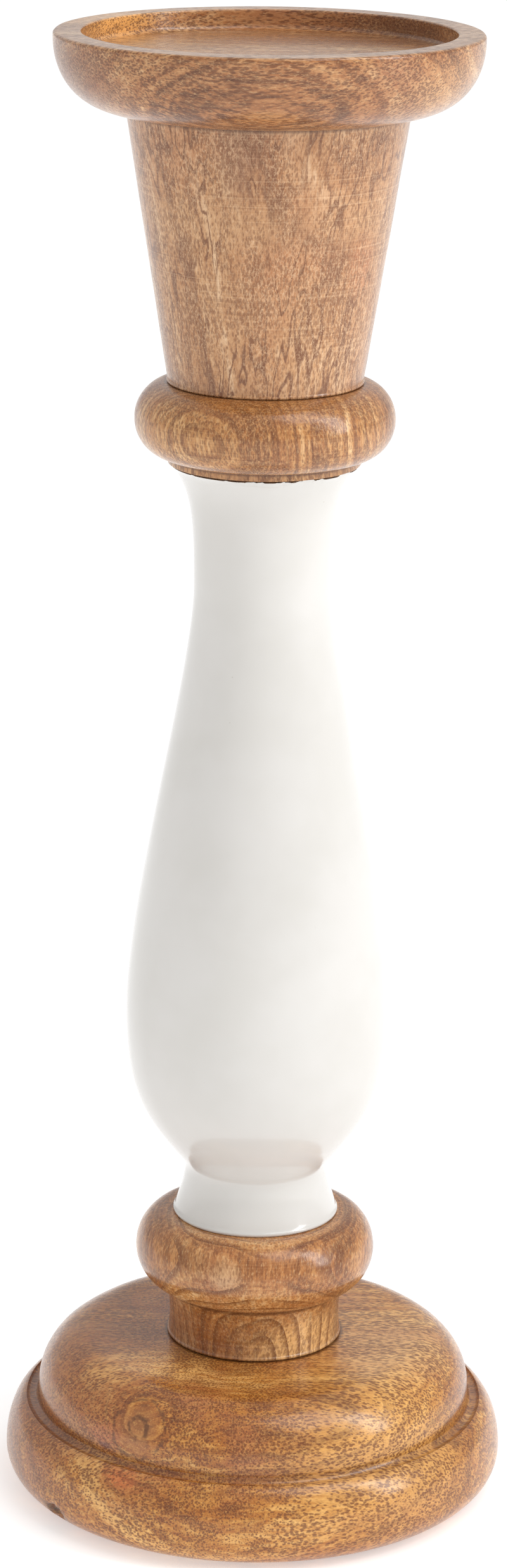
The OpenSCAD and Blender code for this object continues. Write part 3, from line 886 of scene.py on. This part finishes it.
def make_collar():
    low_r, top_r, roll = 28.6, 41.4, 0.6
    spigot_r, spigot_z = collar_spigot_r, low("tapered_collar")
    top_z = high("tapered_collar")
    outside = (
        arc((low_r - 0.1, collar_z + roll), roll, roll, -90, 50, 15)
        + [(low_r + 0.3, collar_z + 2 * roll), (top_r, dish_z)]
    )
    inside = [(dish_spigot_r, dish_z), (dish_spigot_r, top_z), (rod_hole_r, top_z),
              (rod_hole_r, spigot_z), (spigot_r, spigot_z), (spigot_r, collar_z), outside[0]]
    pale = wood(
        "collar_wood", turn=(2, -2, 0), pith=(-58, 34),
        tones=((0.20, 0.068, 0.018), (0.47, 0.215, 0.082), (0.56, 0.29, 0.125), (0.80, 0.53, 0.31)),
        ring=3.2, sway=9, fleck=0.62, fleck_run=3.2, mottle=0.6, net=0.5, veins=1.0,
        straight=True, lines=0.5, blush=(0.47, 0.19, 0.075), seed=5.0,
        # painted shade where the dish overhangs the collar's top
        shade_creases=((top_r + 0.4, dish_z, 1.8),),
        # the first patch is a band of painted shade under the dish's overhang
        stains_and_painted_light=(((0, 0, 421), (60, 60, 9), (0.42, 0.185, 0.075), 0.55, 0.12),
               ((0, 0, 399), (60, 60, 13), (0.66, 0.40, 0.20), 0.5, 0.12),
               ((-8.5, -37.6, 420), (9, 12, 20), (0.30, 0.15, 0.085), 0.5, 0.7),
               ((27.1, -21.8, 386), (7, 9, 13), (0.52, 0.17, 0.055), 0.5, 0.6)))
    return turned("tapered_collar", "collar_wood", divided(soften(outside + inside, 0.35), 1.2), pale,
                  is_open=lambda r, z: r > low_r - 3 and collar_z + 1 < z < dish_z - 0.5,
                  Sides=320, Unevenness=0.3, Unevenness_Size=20.0, Ripple=0.05, Seed=14.0)


def make_dish():
    level_r, fullness, edge_h = 42.4, 0.6, 1.5
    bore_r, fillet, bore_edge, rim_edge = dish_r - 8.1, 1.5, 0.5, 1
    side_z = rim_z - edge_h
    socket_r, socket_z = dish_spigot_r + spigot_gap, dish_z + dish_spigot_l + end_gap
    flange_r, flange_z = 8.6, socket_z + 1.2
    hole_r, hole_z = 6.35, flange_z + 7
    outside = (
        curve((level_r, dish_z), (level_r + fullness * (dish_r - level_r), dish_z),
              (dish_r, side_z - fullness * (side_z - dish_z)), (dish_r, side_z), 30)
        + arc((dish_r - rim_edge, rim_z - rim_edge), rim_edge, rim_edge, 0, 90, 12)
        + arc((bore_r + bore_edge, rim_z - bore_edge), bore_edge, bore_edge, 90, 180, 15)
        + arc((bore_r - fillet, recess_z + fillet), fillet, fillet, 0, -90, 12)
    )
    inside = [(0.0, hole_z), (hole_r, hole_z), (hole_r, flange_z), (flange_r, flange_z),
              (flange_r, socket_z), (socket_r, socket_z), (socket_r, dish_z)]
    outline = inside + outside + [(0.0, recess_z)]
    chestnut = wood(
        "dish_wood", turn=(0, 90, 0), pith=(rim_z + 52, 16),
        tones=((0.12, 0.034, 0.008), (0.40, 0.155, 0.05), (0.50, 0.235, 0.09), (0.74, 0.46, 0.23)),
        ring=3.0, sway=16, fleck=0.62, fleck_run=4.4, mottle=0.72, net=0.25, veins=0.3, lines=0.2,
        blush=(0.38, 0.15, 0.07), seed=6.0,
        # painted shade where the dish sits on the collar
        shade_creases=((level_r, dish_z, 1.6),),
        # painted shade on the left side, away from the lamp
        stains_and_painted_light=(((-60, -24, 438), (28, 40, 16), (0.20, 0.05, 0.01), 0.75, 0.5),
               # painted light on the right side, where the lamp falls
               ((50, -25, 438), (26, 34, 14), (0.66, 0.35, 0.14), 0.5, 0.5),
               # painted light on the recess wall that faces the lamp
               ((-50, 32, 449), (32, 32, 9), (0.95, 0.47, 0.13), 0.9, 0.4),
               # painted shade on the recess wall that faces away from the lamp
               ((40, 34, 447), (34, 26, 5), (0.16, 0.055, 0.02), 0.85, 0.4),
               # a painted highlight along the top of the rim
               ((0, 0, rim_z + 0.3), (150, 150, 0.9), (0.86, 0.64, 0.45), 0.4, 0.1)))
    return turned("candle_dish", "dish_wood", divided(soften(outline, 0.35, 30.0), 1.5), chestnut,
                  is_open=lambda r, z: (r > level_r + 1 or z > recess_z - 0.1),
                  Sides=400, Unevenness=0.28, Unevenness_Size=22.0, Ripple=0.05, Seed=17.0)


# ---------------------------------------------------------------- fastenings and feet

def rounded_tube(inner_r, outer_r, bottom, top, edge):
    """The closed outline of a plain ring with rounded edges."""
    corners = [(outer_r, bottom), (outer_r, top), (inner_r, top), (inner_r, bottom)]
    middle = ((inner_r + outer_r) / 2, bottom)
    return soften([middle, *corners, middle], edge)


def make_rod(steel):
    bottom, top, chamfer, pitch = low("tie_rod"), high("tie_rod"), 0.8, 1.25
    low_thread, high_thread = bottom + 26, top - 14
    core = rod_r - chamfer
    ends = [(0.0, bottom), (core, bottom), (rod_r, bottom + chamfer)]
    shank = divided([(rod_r, low_thread), (rod_r, high_thread)], 12.0)
    fine = pitch / 8
    outline = (
        ends + divided([(rod_r, bottom + chamfer), (rod_r, low_thread)], fine)[1:]
        + shank[1:] + divided([(rod_r, high_thread), (rod_r, top - chamfer)], fine)[1:]
        + [(core, top), (0.0, top)]
    )
    return turned("tie_rod", "zinc_steel", outline, steel,
                  is_thread=lambda r, z: r > core and not low_thread - 1 < z < high_thread + 1,
                  Sides=48, Thread_Pitch=pitch, Thread_Depth=0.62)


def make_insert(steel):
    bottom, top = low("insert_nut"), high("insert_nut")
    bore_r, body_r, flange_r, flange_t, pitch = rod_r + 0.05, 6.25, 8.5, 1.2, 2.0
    body = divided([(body_r, bottom + flange_t), (body_r, top)], pitch / 8)
    outline = ([(bore_r, bottom), (flange_r, bottom), (flange_r, bottom + flange_t)]
               + body + [(bore_r, top), (bore_r, bottom)])
    return turned("insert_nut", "zinc_steel", outline, steel,
                  is_thread=lambda r, z: abs(r - body_r) < 0.01 and z > bottom + flange_t + 0.2,
                  Sides=64, Thread_Pitch=pitch, Thread_Depth=0.7)


def make_flat_washer(steel):
    outline = rounded_tube(rod_r + 0.2, 12, low("flat_washer"), high("flat_washer"), 0.35)
    return turned("flat_washer", "zinc_steel", outline, steel, Sides=96)


def make_nut(steel):
    bottom, top = low("hex_nut"), high("hex_nut")
    flat_r, bore_r, pitch = 6.5, rod_r + 0.05, 1.25
    corner_r = flat_r / math.cos(math.radians(30))
    cut = (corner_r - flat_r) * math.tan(math.radians(30))
    lead = 0.6
    bore = divided([(bore_r, top - lead), (bore_r, bottom + lead)], pitch / 8)
    outline = (
        [(bore_r + lead, bottom), (flat_r, bottom), (corner_r, bottom + cut), (corner_r, top - cut),
         (flat_r, top), (bore_r + lead, top)] + bore + [(bore_r + lead, bottom)]
    )
    return turned("hex_nut", "zinc_steel", divided(outline, 1.0), steel,
                  Sides=144, Across_Flats=2 * flat_r)


def make_spring_washer(steel):
    """A flat ring of rounded section, split, with its two ends closed."""
    bottom, top = low("spring_washer"), high("spring_washer")
    inner_r, outer_r, edge, gap = rod_r + 0.2, 7.4, 0.3, 14
    middle = (outer_r, (bottom + top) / 2)
    section = soften([middle, (outer_r, top), (inner_r, top), (inner_r, bottom),
                      (outer_r, bottom), middle], edge)[:-1]
    sides = 72
    points, faces = [], []
    for i in range(sides + 1):
        a = math.radians(gap / 2 + (360 - gap) * i / sides)
        points += [(r * math.cos(a) * MM, r * math.sin(a) * MM, z * MM) for r, z in section]
    count = len(section)
    for i in range(sides):
        for k in range(count):
            a, b = i * count + k, i * count + (k + 1) % count
            faces.append((a, a + count, b + count, b))
    faces.append(tuple(range(count)))
    faces.append(tuple(sides * count + k for k in reversed(range(count))))
    mesh = bpy.data.meshes.new("spring_washer_mesh")
    mesh.from_pydata(points, [], faces)
    mesh.materials.append(steel)
    piece = bpy.data.objects.new("spring_washer_split", mesh)
    bpy.context.scene.collection.objects.link(piece)
    return keep(piece, "spring_washer", "zinc_steel")


def make_feet():
    bottom, top = low("felt_feet"), high("felt_feet")
    r = 8
    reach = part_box("felt_feet")[1].x / MM - r
    outline = divided([(0.0, bottom), (r, bottom), (r, top), (0.0, top)], 0.8)
    outline = soften(outline, 0.35, 50.0)
    return turned("felt_feet", "felt", outline, felt(), is_open=lambda r, z: 0.3 < z - bottom < 1.6,
                  Sides=96, Unevenness=0.5, Unevenness_Size=1.2, Seed=3.0,
                  Copies=4, Copies_Radius=reach * math.sqrt(2), Copies_Turn=math.radians(45))


# ---------------------------------------------------------------- floor, light and camera

def make_floor():
    side, level = 30.0, cad_low.z
    mesh = bpy.data.meshes.new("floor")
    mesh.from_pydata([(x * side, y * side, level) for x, y in ((-1, -1), (1, -1), (1, 1), (-1, 1))],
                     [], [(0, 1, 2, 3)])
    material, t = new_material("pale_floor")
    finish_material(t, {"Base Color": (0.9, 0.9, 0.9, 1.0), "Roughness": 0.9,
                        "Specular IOR Level": 0.0,
                        "Emission Color": (1.0, 1.0, 1.0, 1.0), "Emission Strength": 0.42})
    mesh.materials.append(material)
    floor = bpy.data.objects.new("floor", mesh)
    bpy.context.scene.collection.objects.link(floor)


def make_light(name, azimuth, elevation, distance, width, height, watts):
    """A soft box aimed at the middle; its azimuth goes from the front towards the object's right."""
    middle = Vector((0.0, 0.0, (cad_low.z + cad_high.z) / 2))
    data = bpy.data.lights.new(name, "AREA")
    data.shape = "RECTANGLE"
    data.size, data.size_y, data.energy = width, height, watts
    a, e = math.radians(azimuth), math.radians(elevation)
    way = Vector((math.sin(a) * math.cos(e), -math.cos(a) * math.cos(e), math.sin(e)))
    light = bpy.data.objects.new(name, data)
    light.location = middle + way * distance
    light.rotation_mode = "QUATERNION"
    light.rotation_quaternion = way.to_track_quat("Z", "Y")
    light.visible_camera = False
    bpy.context.scene.collection.objects.link(light)


def make_world():
    world = bpy.data.worlds.new("studio")
    world.use_nodes = True
    world.node_tree.nodes.clear()
    t = Tree(world.node_tree)
    sky = t.add("ShaderNodeBackground", {}, {"Color": (1.0, 1.0, 1.0, 1.0), "Strength": 0.68})
    t.add("ShaderNodeOutputWorld", {}, {"Surface": sky})
    bpy.context.scene.world = world


def make_camera():
    data = bpy.data.cameras.new("camera")
    data.lens, data.sensor_width = 106.17, 36
    aside, away, above_floor = -0.0021, -1.338, 0.611
    look_up, lean_over = math.radians(73.89), math.radians(0.683)
    camera = bpy.data.objects.new("camera", data)
    place = Matrix.Translation((aside, away, cad_low.z + above_floor))
    tilt = Matrix.Rotation(look_up, 4, "X")
    roll = Matrix.Rotation(lean_over, 4, "Z")
    camera.matrix_world = place @ tilt @ roll
    bpy.context.scene.collection.objects.link(camera)
    bpy.context.scene.camera = camera


make_camera()
make_world()
make_light("key", azimuth=70, elevation=28, distance=2.0, width=0.42, height=1.5, watts=14.8)
make_light("top", azimuth=50, elevation=60, distance=2.2, width=1.2, height=1.2, watts=11.0)
make_floor()

steel = zinc()
make_base()
make_neck()
make_baluster()
make_ring()
make_collar()
make_dish()
make_rod(steel)
make_insert(steel)
make_flat_washer(steel)
make_spring_washer(steel)
make_nut(steel)
make_feet()

bpy.context.scene.view_settings.view_transform = "Standard"
